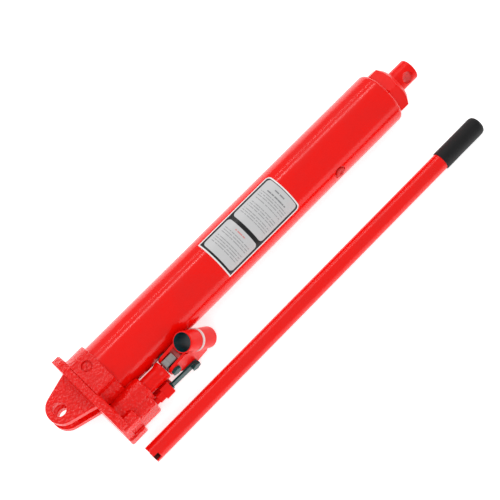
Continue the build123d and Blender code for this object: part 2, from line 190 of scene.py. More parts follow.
def along_run(stations: int) -> np.ndarray:
    """Spreads stations along a run, stopping just short of where its section shrinks to nothing.

    Args:
        stations: Number of stations.

    Returns:
        Column of shares of the run.
    """
    short = 0.004
    return np.linspace(short, 1 - short, stations)[:, None]


def lathe(
    name: str, profile: np.ndarray, centre: tuple[float, float], around: int
) -> bpy.types.Object:
    """Turns a closed loop of (radius, height) points about an upright axis.

    The surface is (x, y, z) = (cx + r cos a, cy + r sin a, h). Points of the loop with no radius
    share one vertex, so the pole is closed.

    Args:
        name: The piece's name.
        profile: Loop of (radius, height) in millimetres.
        centre: The axis, as x and y.
        around: Number of steps round the axis.

    Returns:
        The new object.
    """
    turn = np.linspace(0, 2 * np.pi, around, endpoint=False)[:, None]
    radius, height = profile[:, 0][None, :], profile[:, 1][None, :]
    x = centre[0] + radius * np.cos(turn)
    y = centre[1] + radius * np.sin(turn)
    z = np.broadcast_to(height, x.shape)
    vertices = lay_down(np.stack([x, y, z], axis=-1).reshape(-1, 3))
    step = len(profile)
    faces = quads(around, step, close_columns=True, close_rows=True)
    merged = np.arange(len(vertices))
    for pole in np.flatnonzero(profile[:, 0] == 0):
        merged[pole::step] = pole
    faces = outward(vertices, merged[faces])
    kept = np.unique(faces)
    number = np.full(len(vertices), -1)
    number[kept] = np.arange(len(kept))
    rings = [list(dict.fromkeys(face)) for face in number[faces].tolist()]
    return add_piece(name, vertices[kept], [ring for ring in rings if len(ring) > 2])


# ---- node tree helper ----


class Graph:
    """Adds nodes to one shader tree and joins them by value."""

    def __init__(self, tree: bpy.types.NodeTree) -> None:
        """Starts on a tree that is already there.

        Args:
            tree: The material's or the group's node tree.
        """
        self.tree = tree

    def add(self, kind: str, values: Values | None = None, **settings: object) -> bpy.types.Node:
        """Adds one node, sets it up and joins what feeds it.

        Args:
            kind: The node's type, without its leading "ShaderNode".
            values: A number, a colour or another node's socket for each named input.
            settings: The node's own properties.

        Returns:
            The new node.
        """
        node = self.tree.nodes.new("ShaderNode" + kind)
        for name, value in settings.items():
            setattr(node, name, value)
        self.feed_all(node, values or {})
        return node

    def feed_all(self, node: bpy.types.Node, values: Values) -> None:
        """Feeds several inputs of one node, each by its name."""
        for name, value in values.items():
            self.feed(node.inputs[name], value)

    def feed(self, socket: bpy.types.NodeSocket, value: object) -> None:
        """Joins a socket to another one, or sets its own value.

        Args:
            socket: The input.
            value: A socket, a number, a vector or a colour.
        """
        if isinstance(value, bpy.types.NodeSocket):
            self.tree.links.new(value, socket)
        elif socket.type == "RGBA" and len(value) == 3:
            socket.default_value = (*value, 1.0)
        else:
            socket.default_value = value

    def math(self, operation: str, *terms: object) -> bpy.types.NodeSocket:
        """Works out one sum of up to three terms and returns its socket."""
        return self.add("Math", dict(enumerate(terms)), operation=operation).outputs[0]

    def vector(self, operation: str, *terms: object) -> bpy.types.Node:
        """Works out one vector sum of up to three terms and returns its node."""
        return self.add("VectorMath", dict(enumerate(terms)), operation=operation)

    def ramp(
        self, value: object, low: object, high: object, start: object = 0.0, end: object = 1.0
    ) -> bpy.types.NodeSocket:
        """Maps a value smoothly from low..high to start..end.

        Args:
            value: The value to map.
            low: Where the change begins.
            high: Where the change ends.
            start: The result at low.
            end: The result at high.

        Returns:
            The result's socket.
        """
        values = {"Value": value, "From Min": low, "From Max": high, "To Min": start, "To Max": end}
        return self.add("MapRange", values, interpolation_type="SMOOTHSTEP").outputs[0]

    def mix(self, share: object, first: object, second: object) -> bpy.types.NodeSocket:
        """Mixes two colours, with share the part of the second, and returns the colour's socket."""
        return self.add("Mix", {0: share, 6: first, 7: second}, data_type="RGBA").outputs[2]

    def noise(self, place: object, scale: object, detail: float) -> bpy.types.NodeSocket:
        """Adds noise over space and returns its value's socket."""
        return self.add("TexNoise", {"Vector": place, "Scale": scale, "Detail": detail}).outputs[0]

    def line_noise(self, place: object, scale: float, detail: float) -> bpy.types.NodeSocket:
        """Adds noise along one line and returns its value's socket."""
        values = {"W": place, "Scale": scale, "Detail": detail}
        return self.add("TexNoise", values, noise_dimensions="1D").outputs[0]

    def group(self, tree: bpy.types.NodeTree, values: Values) -> bpy.types.NodeOutputs:
        """Places one shared group with its own values and returns what it gives."""
        return self.add("Group", values, node_tree=tree).outputs

    def bump(self, height: object, depth: float, under: object = None) -> bpy.types.NodeSocket:
        """Bends the normal by a height.

        Args:
            height: Height from 0 to 1.
            depth: How many metres that is.
            under: The normal to bend, where it isn't the piece's own.

        Returns:
            The bent normal's socket.
        """
        values = {"Height": height, "Strength": 1.0, "Distance": depth}
        if under is not None:
            values["Normal"] = under
        return self.add("Bump", values).outputs[0]

    def here(self) -> bpy.types.NodeSocket:
        """Returns the socket of the place on the piece, in its own frame."""
        return self.add("TexCoord").outputs["Object"]


class Effects:
    """The shader groups that several finishes share, each built once."""

    OBLONG = {"Place": ORIGIN, "Centre": ORIGIN, "Half": (1.0, 1.0, 0.0)}

    def __init__(self) -> None:
        """Builds every group."""
        self.pebble = self._pebble()
        self.peel = self._peel()
        self.haze = self._haze()
        self.edge = self._edge()
        self.lathe_grain = self._lathe_grain()
        self.inside = self._inside()
        self.panel = self._panel()
        self.rule = self._rule()

    @staticmethod
    def _open(
        name: str, inputs: dict[str, float | Point], *outputs: str
    ) -> tuple[Graph, bpy.types.NodeInputs, bpy.types.NodeInputs]:
        """Starts a group with its named sockets.

        Args:
            name: The group's name.
            inputs: First value of each input, a number or a vector.
            outputs: Name of each output, which is a number.

        Returns:
            The group's graph, what comes into it and what it gives.
        """
        number, vector = "NodeSocketFloat", "NodeSocketVector"
        tree = bpy.data.node_groups.new(name, "ShaderNodeTree")
        for label, value in inputs.items():
            kind = number if isinstance(value, float) else vector
            made = tree.interface.new_socket(label, in_out="INPUT", socket_type=kind)
            made.default_value = value
        for label in outputs:
            tree.interface.new_socket(label, in_out="OUTPUT", socket_type=number)
        into, out = tree.nodes.new("NodeGroupInput"), tree.nodes.new("NodeGroupOutput")
        return Graph(tree), into.outputs, out.inputs

    def _pebble(self) -> bpy.types.NodeTree:
        """Sand-cast skin under paint: rounded pebbles and a finer grain between them.

        Height = 0.55 cells + 0.3 coarse noise + 0.15 fine noise, all at 1 / Size.
        """
        g, into, out = self._open("cast_pebble", {"Size": 0.003}, "Height", "Pits")
        dome_share, coarse_share, fine_share = 0.55, 0.3, 0.15
        scale = g.math("DIVIDE", 1.0, into["Size"])
        here = g.here()
        bend = g.add("TexNoise", {"Vector": here, "Scale": scale, "Detail": 2.0})
        shift = g.vector("SUBTRACT", bend.outputs["Color"], (0.5, 0.5, 0.5)).outputs[0]
        reach = g.math("MULTIPLY", into["Size"], 0.9)
        moved = g.vector("SCALE", shift)
        g.feed(moved.inputs["Scale"], reach)
        place = g.vector("ADD", here, moved.outputs[0]).outputs[0]
        cells = g.add(
            "TexVoronoi",
            {"Vector": place, "Scale": scale, "Smoothness": 0.7},
            feature="SMOOTH_F1",
        )
        dome = g.ramp(cells.outputs["Distance"], 0.1, 0.75, 1.0, 0.0)
        coarse = g.noise(here, g.math("MULTIPLY", scale, 0.45), 3.0)
        fine = g.noise(here, g.math("MULTIPLY", scale, 2.6), 2.0)
        height = g.math("MULTIPLY", dome, dome_share)
        height = g.math("MULTIPLY_ADD", coarse, coarse_share, height)
        height = g.math("MULTIPLY_ADD", fine, fine_share, height)
        g.feed(out["Height"], height)
        g.feed(out["Pits"], g.ramp(height, 0.28, 0.5, 1.0, 0.0))
        return g.tree

    def _peel(self) -> bpy.types.NodeTree:
        """Orange peel of sprayed enamel: two soft noises, one twice as fine as the other."""
        g, into, out = self._open("orange_peel", {"Size": 0.002}, "Height")
        scale = g.math("DIVIDE", 1.0, into["Size"])
        here = g.here()
        broad_share, tight_share = 0.65, 0.35
        tight = g.noise(here, g.math("MULTIPLY", scale, 2.0), 0.0)
        height = g.math("MULTIPLY", g.noise(here, scale, 1.0), broad_share)
        g.feed(out["Height"], g.math("MULTIPLY_ADD", tight, tight_share, height))
        return g.tree

    def _haze(self) -> bpy.types.NodeTree:
        """Handling haze: broad clouds broken by fine specks, from 0 clean to 1 dull."""
        g, into, out = self._open("handling_haze", {"Size": 0.04}, "Haze")
        scale = g.math("DIVIDE", 1.0, into["Size"])
        here = g.here()
        cloud = g.add("TexNoise", {"Vector": here, "Scale": scale, "Detail": 4.0, "Roughness": 0.6})
        cloud_share, speck_share = 0.7, 0.3
        speck = g.noise(here, g.math("MULTIPLY", scale, 30.0), 1.0)
        clouds = g.math("MULTIPLY", g.ramp(cloud.outputs[0], 0.35, 0.7), cloud_share)
        haze = g.math("MULTIPLY_ADD", g.ramp(speck, 0.45, 0.7), speck_share, clouds)
        g.feed(out["Haze"], haze)
        return g.tree

    def _edge(self) -> bpy.types.NodeTree:
        """Thin paint along edges: where a rounded normal leans from the flat one, in chips."""
        g, into, out = self._open("edge_wear", {"Width": 0.0008, "Amount": 1.0}, "Wear")
        flat = g.add("NewGeometry").outputs["Normal"]
        rounded = g.add("Bevel", {"Radius": into["Width"]}, samples=4).outputs[0]
        along = g.vector("DOT_PRODUCT", flat, rounded).outputs["Value"]
        lean = g.ramp(along, 0.995, 0.8)
        chips_per_metre = 420.0
        chips = g.ramp(g.noise(g.here(), chips_per_metre, 3.0), 0.4, 0.62)
        wear = g.math("MULTIPLY", lean, chips)
        g.feed(out["Wear"], g.math("MULTIPLY", wear, into["Amount"]))
        return g.tree

    def _lathe_grain(self) -> bpy.types.NodeTree:
        """Turning marks: noise that changes along the turning axis only, so lines run round it."""
        values = {"Axis": RAM_AXIS, "Pitch": 0.0004}
        g, into, out = self._open("lathe_grain", values, "Height", "Streak")
        here = g.here()
        along = g.vector("DOT_PRODUCT", here, into["Axis"]).outputs["Value"]
        steps = g.math("DIVIDE", along, into["Pitch"])
        streaks_per_line = 0.04
        band = g.line_noise(g.math("MULTIPLY", steps, streaks_per_line), 1.0, 3.0)
        g.feed(out["Height"], g.line_noise(steps, 1.0, 2.0))
        g.feed(out["Streak"], g.ramp(band, 0.3, 0.7))
        return g.tree

    def _inside(self) -> bpy.types.NodeTree:
        """Mask of what lies nearer to an axis than a radius: length of (here - point) x axis."""
        values = {"Point": ORIGIN, "Axis": RAM_AXIS, "Radius": 0.01, "Blur": 0.0001}
        g, into, out = self._open("near_axis", values, "Mask")
        arm = g.vector("SUBTRACT", g.here(), into["Point"]).outputs[0]
        cross = g.vector("CROSS_PRODUCT", arm, into["Axis"]).outputs[0]
        reach = g.vector("LENGTH", cross).outputs["Value"]
        low = g.math("SUBTRACT", into["Radius"], into["Blur"])
        high = g.math("ADD", into["Radius"], into["Blur"])
        g.feed(out["Mask"], g.ramp(reach, low, high, 1.0, 0.0))
        return g.tree

    def _panel(self) -> bpy.types.NodeTree:
        """Mask of a rounded oblong in a flat pattern.

        With q = |p - centre| - half + corner, the distance to its edge is
        length(max(q, 0)) + min(max(q.x, q.y), 0) - corner.
        """
        values = {**self.OBLONG, "Corner": 0.1, "Blur": 0.1}
        g, into, out = self._open("rounded_panel", values, "Mask")
        arm = g.vector("SUBTRACT", into["Place"], into["Centre"]).outputs[0]
        size = g.vector("ABSOLUTE", arm).outputs[0]
        over = g.vector("SUBTRACT", size, into["Half"]).outputs[0]
        split = g.add("SeparateXYZ", {0: over})
        corner = into["Corner"]
        x = g.math("ADD", split.outputs[0], corner)
        y = g.math("ADD", split.outputs[1], corner)
        outer = g.add("CombineXYZ", {0: g.math("MAXIMUM", x, 0.0), 1: g.math("MAXIMUM", y, 0.0)})
        reach = g.vector("LENGTH", outer.outputs[0]).outputs["Value"]
        deep = g.math("MINIMUM", g.math("MAXIMUM", x, y), 0.0)
        edge = g.math("SUBTRACT", g.math("ADD", reach, deep), corner)
        blur = into["Blur"]
        g.feed(out["Mask"], g.ramp(edge, g.math("MULTIPLY", blur, -1.0), blur, 1.0, 0.0))
        return g.tree

    def _rule(self) -> bpy.types.NodeTree:
        """A printed grey rule broken into dashes of uneven length; it spells nothing."""
        g, into, out = self._open("broken_rule", {**self.OBLONG, "Seed": 0.0}, "Mask")
        box = g.group(
            self.panel, {**{name: into[name] for name in self.OBLONG}, "Corner": 0.3, "Blur": 0.12}
        )
        across = g.add("SeparateXYZ", {0: into["Place"]}).outputs[0]
        dashes_per_mm = 0.42
        dash = g.line_noise(g.math("ADD", across, into["Seed"]), dashes_per_mm, 1.0)
        kept = g.ramp(dash, 0.36, 0.42)
        g.feed(out["Mask"], g.math("MULTIPLY", box["Mask"], kept))
        return g.tree


# ---- finishes ----


def new_material(name: str) -> tuple[bpy.types.Material, Graph, bpy.types.Node]:
    """Starts a material whose surface is one Principled shader.

    Args:
        name: The material's name.

    Returns:
        The material, its graph and its shader.
    """
    material = bpy.data.materials.new(name)
    material.use_nodes = True
    shader = next(n for n in material.node_tree.nodes if n.type == "BSDF_PRINCIPLED")
    return material, Graph(material.node_tree), shader


@dataclass(frozen=True)
class ShadedBore:
    """The round inside of a tube, which carries another finish than its outside, with a dark colour
    painted in as shade inside the bore.
    """

    point: Point
    axis: Point
    radius: float
    # dark colour of the inside: painted shade, standing in for the shade down the bore
    colour: Colour
    metallic: float


@dataclass(frozen=True)
class Enamel:
    """Red enamel, over smooth steel or over a sand casting."""

    name: str
    colour: Colour
    deep: Colour
    thin: Colour
    roughness: float
    peel_size: float
    peel_depth: float
    cast_size: float = 0.0
    cast_depth: float = 0.0
    wear: float = 0.35
    bore: ShadedBore | None = None
    bare_below: float | None = None
    gloss: float = 0.22
    haze_size: float = 0.045
    haze_tint: float = 0.45
    haze_dull: float = 0.1
    edge_width: float = 0.0007
    pit_tint: float = 0.4
    paint_edge: float = 0.0003
    ragged_scale: float = 300.0
    ragged_reach: float = 0.0008

    def material(self, effects: Effects) -> bpy.types.Material:
        """Builds the paint, and the bare metal where the paint ends.

        Args:
            effects: The shared groups.

        Returns:
            The finished material.
        """
        material, g, shader = new_material(self.name)
        haze = g.group(effects.haze, {"Size": self.haze_size})["Haze"]
        worn = {"Width": self.edge_width, "Amount": self.wear}
        edge = g.group(effects.edge, worn)["Wear"]
        colour = g.mix(g.math("MULTIPLY", haze, self.haze_tint), self.colour, self.deep)
        colour = g.mix(edge, colour, self.thin)
        rough = g.math("MULTIPLY_ADD", haze, self.haze_dull, self.roughness)
        peel = g.group(effects.peel, {"Size": self.peel_size})["Height"]
        normal = g.bump(peel, self.peel_depth)
        if self.cast_depth:
            skin = g.group(effects.pebble, {"Size": self.cast_size})
            pits = g.math("MULTIPLY", skin["Pits"], self.pit_tint)
            colour = g.mix(pits, colour, self.deep)
            normal = g.bump(skin["Height"], self.cast_depth, normal)
        metallic: object = 0.0
        # painted shade: inside the bore the red paint gives way to a dark colour standing in for
        # the shade there
        if self.bore is not None:
            bore = {"Point": self.bore.point, "Axis": self.bore.axis, "Radius": self.bore.radius}
            mask = g.group(effects.inside, bore)["Mask"]
            colour = g.mix(mask, colour, self.bore.colour)
            metallic = g.math("MULTIPLY", mask, self.bore.metallic)
        if self.bare_below is not None:
            height = g.add("SeparateXYZ", {0: g.here()}).outputs[1]
            ragged = g.noise(g.here(), self.ragged_scale, 2.0)
            line = g.math("MULTIPLY_ADD", ragged, self.ragged_reach, height)
            mask = g.ramp(line, self.bare_below, self.bare_below + self.paint_edge, 1.0, 0.0)
            colour = g.mix(mask, colour, STEEL_COLOUR)
            metallic = mask
        surface = {"Base Color": colour, "Roughness": rough, "Metallic": metallic, "Normal": normal}
        g.feed_all(shader, {**surface, "Specular IOR Level": self.gloss})
        return material


@dataclass(frozen=True)
class Plated:
    """Bare or plated metal with turning marks round an axis."""

    name: str
    colour: Colour
    second: Colour
    roughness: float
    metallic: float = 1.0
    axis: Point = RAM_AXIS
    pitch: float = 0.0003
    grain_depth: float = 0.000008
    haze_size: float = 0.012
    edge_width: float = 0.0004
    wear: float = 0.5
    streak_tint: float = 0.4
    haze_tint: float = 0.5
    streak_dull: float = 0.16

    def material(self, effects: Effects) -> bpy.types.Material:
        """Builds the metal: streaked colour, streaked gloss and fine turning marks.

        Args:
            effects: The shared groups.

        Returns:
            The finished material.
        """
        material, g, shader = new_material(self.name)
        grain = g.group(effects.lathe_grain, {"Axis": self.axis, "Pitch": self.pitch})
        haze = g.group(effects.haze, {"Size": self.haze_size})["Haze"]
        worn = {"Width": self.edge_width, "Amount": self.wear}
        edge = g.group(effects.edge, worn)["Wear"]
        cloud = g.math("MULTIPLY", haze, self.haze_tint)
        blend = g.math("MULTIPLY_ADD", grain["Streak"], self.streak_tint, cloud)
        colour = g.mix(blend, self.colour, self.second)
        colour = g.mix(edge, colour, STEEL_COLOUR)
        rough = g.math("MULTIPLY_ADD", blend, self.streak_dull, self.roughness)
        normal = g.bump(grain["Height"], self.grain_depth)
        surface = {"Base Color": colour, "Roughness": rough, "Normal": normal}
        g.feed_all(shader, {**surface, "Metallic": self.metallic})
        return material


@dataclass(frozen=True)
class Moulded:
    """Rubber, vinyl or nylon with a fine moulded grain."""

    name: str
    colour: Colour
    second: Colour
    roughness: float
    grain_size: float
    grain_depth: float
    haze_size: float = 0.02
    haze_tint: float = 0.7
    haze_dull: float = 0.12
    pit_tint: float = 0.35

    def material(self, effects: Effects) -> bpy.types.Material:
        """Builds the moulding: clouded colour, clouded gloss and a leathery grain.

        Args:
            effects: The shared groups.

        Returns:
            The finished material.
        """
        material, g, shader = new_material(self.name)
        haze = g.group(effects.haze, {"Size": self.haze_size})["Haze"]
        skin = g.group(effects.pebble, {"Size": self.grain_size})
        colour = g.mix(g.math("MULTIPLY", haze, self.haze_tint), self.colour, self.second)
        pits = g.math("MULTIPLY", skin["Pits"], self.pit_tint)
        colour = g.mix(pits, colour, self.colour)
        rough = g.math("MULTIPLY_ADD", haze, self.haze_dull, self.roughness)
        normal = g.bump(skin["Height"], self.grain_depth)
        g.feed_all(shader, {"Base Color": colour, "Roughness": rough, "Normal": normal})
        return material


@dataclass(frozen=True)
class Rule:
    """One row of faint printed dashes: its height, its half width and how dark it is."""

    height: float
    half: float
    tone: float = 0.55
    thick: float = 0.55


@dataclass(frozen=True)
class PrintedLabel:
    """Printed film: white outline, black surround, two pale panels and rows of plain dashes.

    Sizes are in millimetres on the flat label, measured from the middle of its lower edge.
    """

    name: str = "label_print"
    height: float = 128.0
    outline_half: float = 30.2
    panel_half: float = 27.0
    lower: tuple[float, float] = (5.0, 52.6)
    upper: tuple[float, float] = (58.4, 125.0)
    corner: float = 5.0
    white: Colour = (0.88, 0.86, 0.85)
    black: Colour = (0.012, 0.012, 0.013)
    grey: Colour = (0.6, 0.6, 0.605)
    ink: Colour = (0.1, 0.1, 0.11)
    warm: Colour = (0.72, 0.12, 0.1)
    head: Rule = Rule(46.6, 9.0, 0.7, 0.9)
    seed_step: float = 17.0
    head_seed: float = 5.0
    edge: float = 2.0
    square_corner: float = 0.2
    blur: float = 0.15
    roughness: float = 0.32
    haze_size: float = 0.03
    haze_dull: float = 0.15
    peel_size: float = 0.006
    peel_depth: float = 0.00004

    def rows(self) -> list[Rule]:
        """Lists the rows of dashes, in two columns of paragraphs from top to bottom.

        Returns:
            The rows of both panels.
        """
        upper = [Rule(118.0, 8.5, 0.75, 0.8), Rule(111.4, 16.0, 0.75, 0.9)]
        for top, count in ((107.0, 3), (95.6, 1), (88.4, 3), (76.4, 3)):
            upper += [Rule(top - 3.4 * i, 23.0) for i in range(count)]
        lower = [Rule(41.0 - 3.5 * i, 22.0) for i in range(3)]
        lower += [Rule(27.4 - 3.5 * i, 22.5) for i in range(4)]
        return upper + lower

    def material(self, effects: Effects) -> bpy.types.Material:
        """Builds the print from rounded panels laid over one another.

        Args:
            effects: The shared groups.

        Returns:
            The finished material.
        """
        material, g, shader = new_material(self.name)
        place = g.add("UVMap", uv_map="print").outputs[0]
        place = g.vector("MULTIPLY", place, (self.height, self.height, 0.0)).outputs[0]

        def panel(low: float, high: float, half: float, corner: float) -> bpy.types.NodeSocket:
            """Masks one oblong between two heights and returns the mask."""
            values = {
                "Place": place,
                "Centre": (0.0, (low + high) / 2, 0.0),
                "Half": (half, (high - low) / 2, 0.0),
                "Corner": corner,
                "Blur": self.blur,
            }
            return g.group(effects.panel, values)["Mask"]

        rounded = panel(self.edge, self.height - self.edge, self.outline_half, self.corner)
        square = panel(self.edge, self.height / 2, self.outline_half, self.square_corner)
        colour = g.mix(g.math("MAXIMUM", rounded, square), self.white, self.black)
        for low, high in (self.lower, self.upper):
            colour = g.mix(panel(low, high, self.panel_half, self.corner), colour, self.grey)
        printed = [(row, self.seed_step * n, self.ink) for n, row in enumerate(self.rows())]
        for row, seed, ink in [*printed, (self.head, self.head_seed, self.warm)]:
            values = {
                "Place": place,
                "Centre": (0.0, row.height, 0.0),
                "Half": (row.half, row.thick, 0.0),
                "Seed": seed,
            }
            mask = g.group(effects.rule, values)["Mask"]
            colour = g.mix(g.math("MULTIPLY", mask, row.tone), colour, ink)
        haze = g.group(effects.haze, {"Size": self.haze_size})["Haze"]
        peel = g.group(effects.peel, {"Size": self.peel_size})["Height"]
        rough = g.math("MULTIPLY_ADD", haze, self.haze_dull, self.roughness)
        normal = g.bump(peel, self.peel_depth)
        g.feed_all(shader, {"Base Color": colour, "Roughness": rough, "Normal": normal})
        return material


class Paintwork:
    """Every finish of the jack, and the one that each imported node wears."""

    def __init__(self, effects: Effects) -> None:
        """Builds the finishes once.

        Args:
            effects: The shared groups.
        """
        red = dict(colour=RED, deep=DEEP_RED, thin=THIN_RED)
        smooth = dict(**red, peel_size=0.0022, peel_depth=0.00003)
        cast = dict(**red, peel_size=0.0016, peel_depth=0.00005)
        # inside of the socket: its unpainted plated metal, darkened to a dark teal as painted shade
        # down the bore
        socket_bore_shade = ShadedBore(
            (0.0535, 0.164, 0.0215),
            (0.0, float(np.sin(SOCKET_SLOPE)), -float(np.cos(SOCKET_SLOPE))),
            0.0126,
            (0.001, 0.06, 0.075),
            0.2,
        )
        # inside of the handle tube: painted shade, a dark brown-red in place of its red paint
        handle_bore_shade = ShadedBore((0.113, 0.0, -0.02475), RAM_AXIS, 0.0096, (0.1, 0.03, 0.025), 0.3)
        finishes = (
            Enamel("tube_enamel", **smooth, roughness=0.15, gloss=0.42),
            Enamel("fitting_enamel", **red, roughness=0.27, peel_size=0.0018, peel_depth=0.00006),
            Enamel(
                "cast_enamel", **cast, roughness=0.2, cast_size=0.0034, cast_depth=0.0009, gloss=0.5
            ),
            Enamel("neck_enamel", **cast, roughness=0.25, cast_size=0.0028, cast_depth=0.0002),
            Enamel("ram_enamel", **smooth, roughness=0.24, bare_below=0.6032),
            Enamel("screw_enamel", **smooth, roughness=0.27, bare_below=0.0885),
            Enamel("socket_enamel", **smooth, roughness=0.28, bore=socket_bore_shade),
            Enamel("handle_enamel", **smooth, roughness=0.2, bore=handle_bore_shade, gloss=0.4),
            Plated(
                "chromate", CHROMATE, (0.001, 0.05, 0.055), 0.28, 0.25, PIN_AXIS, 0.0004, 0.00001
            ),
            Plated("ground_steel", STEEL_COLOUR, (0.34, 0.32, 0.31), 0.3),
            Plated("brass", (0.7, 0.5, 0.2), (0.5, 0.33, 0.12), 0.28),
            Plated("copper", (0.72, 0.35, 0.2), (0.45, 0.2, 0.12), 0.3, grain_depth=0.000006),
            Moulded("nitrile", (0.012, 0.012, 0.012), (0.03, 0.03, 0.03), 0.5, 0.0008, 0.00002),
            Enamel("wiper", **red, roughness=0.4, peel_size=0.0015, peel_depth=0.00004),
            Moulded(
                "plug_rubber", (0.7, 0.01, 0.004), (0.5, 0.006, 0.003), 0.42, 0.0012, 0.00003
            ),
            Moulded("nylon", (0.82, 0.8, 0.78), (0.7, 0.67, 0.64), 0.38, 0.0015, 0.00003),
            Moulded(
                "vinyl_grip", (0.006, 0.006, 0.0065), (0.014, 0.013, 0.014), 0.62, 0.0022, 0.00016
            ),
        )
        self.materials = {finish.name: finish.material(effects) for finish in finishes}
        self.label = PrintedLabel().material(effects)
        wearers = {
            "cast_enamel": ("base_casting", "relief_plug"),
            "neck_enamel": ("pump_cylinder",),
            "tube_enamel": ("reservoir_tube",),
            "fitting_enamel": ("top_nut", "lever_fork"),
            "wiper": ("rod_wiper",),
            "ram_enamel": ("ram_rod",),
            "screw_enamel": ("release_valve",),
            "socket_enamel": ("lever_socket",),
            "handle_enamel": ("handle_tube",),
            "nylon": ("socket_band",),
            "plug_rubber": ("filler_plug",),
            "chromate": ("plunger_pin", "fulcrum_pin", "link_lower_pin", "links"),
            "brass": ("suction_strainer",),
            "copper": ("cylinder_gasket",),
            "vinyl_grip": ("handle_grip",),
            "nitrile": (
                "gland_o_ring",
                "piston_cup_seal",
                "plunger_seal",
                "release_o_ring",
                "tube_gasket",
            ),
        }
        self.worn_by = {node: finish for finish, nodes in wearers.items() for node in nodes}

    def dress_nodes(self, nodes: dict[str, bpy.types.Object]) -> None:
        """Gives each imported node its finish; a node with none named is ground steel.

        Args:
            nodes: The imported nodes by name.
        """
        for name, node in nodes.items():
            finish = self.worn_by.get(name, "ground_steel")
            material = self.label if name == "label" else self.materials[finish]
            dress(node, material)
            log.info("node %s wears %s", name, material.name)


def dress(piece: bpy.types.Object, material: bpy.types.Material) -> None:
    """Makes one material the only one on a piece.

    Args:
        piece: The object.
        material: Its new material.
    """
    if not piece.data.materials:
        piece.data.materials.append(material)
    for slot in piece.material_slots:
        slot.material = material


def settle(piece: bpy.types.Object, body: Body) -> None:
    """Puts a new piece on its body and reports it.

    Args:
        piece: The new object.
        body: The body it moves with.
    """
    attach(piece, body.value)
    log.info("piece %s rides on %s, %d faces", piece.name, body.value, len(piece.data.polygons))


# ---- sub-assemblies -----------------------------------------------------------------------------


@dataclass
class TubeLabel:
    """The printed film round the front of the reservoir tube."""

    paintwork: Paintwork
    radius: float = 38.25
    film: float = 0.2
    bottom: float = 266.0
    height: float = 128.0
    facing: float = 18.5
    half_turn: float = 48.0
    corner: float = 7.0
    rows: int = 129
    columns: int = 97
    plain_share: float = 0.9

    def build(self) -> None:
        """Wraps the film round the tube.

        With u from -1 to 1 across and v from 0 to 1 up, the film's half width is
        w(v) = half - corner + sqrt(corner^2 - max(h - (height - corner), 0)^2), its turn is
        a = facing + u w / radius, and the point is (r sin a, -r cos a, bottom + h).
        """
        half = np.radians(self.half_turn) * self.radius
        rise = np.linspace(0, 1, self.rows)
        plain, rest = self.plain_share, 1 - self.plain_share
        eased = plain + rest * np.sin((rise - plain) / rest * np.pi / 2)
        rise = np.where(rise > plain, eased, rise)
        height = (rise * self.height)[:, None]
        into_corner = np.clip(height - (self.height - self.corner), 0, self.corner)
        width = half - self.corner + np.sqrt(self.corner**2 - into_corner**2)
        across = np.linspace(-1, 1, self.columns)[None, :] * width
        turn = np.radians(self.facing) + across / self.radius
        x = self.radius * np.sin(turn)
        y = -self.radius * np.cos(turn)
        z = np.broadcast_to(self.bottom + height, x.shape)
        vertices = lay_down(np.stack([x, y, z], axis=-1).reshape(-1, 3))
        faces = quads(self.rows, self.columns)
        piece = add_piece("label_film", vertices, faces.tolist())
        self._lay_print(piece, across, np.broadcast_to(height, across.shape), faces)
        wall = piece.modifiers.new("film", "SOLIDIFY")
        wall.thickness = self.film * MM
        wall.offset = -1.0
        dress(piece, self.paintwork.label)
        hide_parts("label")
        settle(piece, Body.FRAME)

    def _lay_print(
        self, piece: bpy.types.Object, across: np.ndarray, up: np.ndarray, faces: np.ndarray
    ) -> None:
        """Writes where the print falls: millimetres on the film over its height.

        Args:
            piece: The label.
            across: Distance from the middle line at each vertex.
            up: Distance from the lower edge at each vertex.
            faces: The label's faces.
        """
        flat = np.stack([across.ravel(), up.ravel()], axis=-1) / self.height
        layer = piece.data.uv_layers.new(name="print")
        layer.data.foreach_set("uv", flat[faces.ravel()].astype(np.float32).ravel())


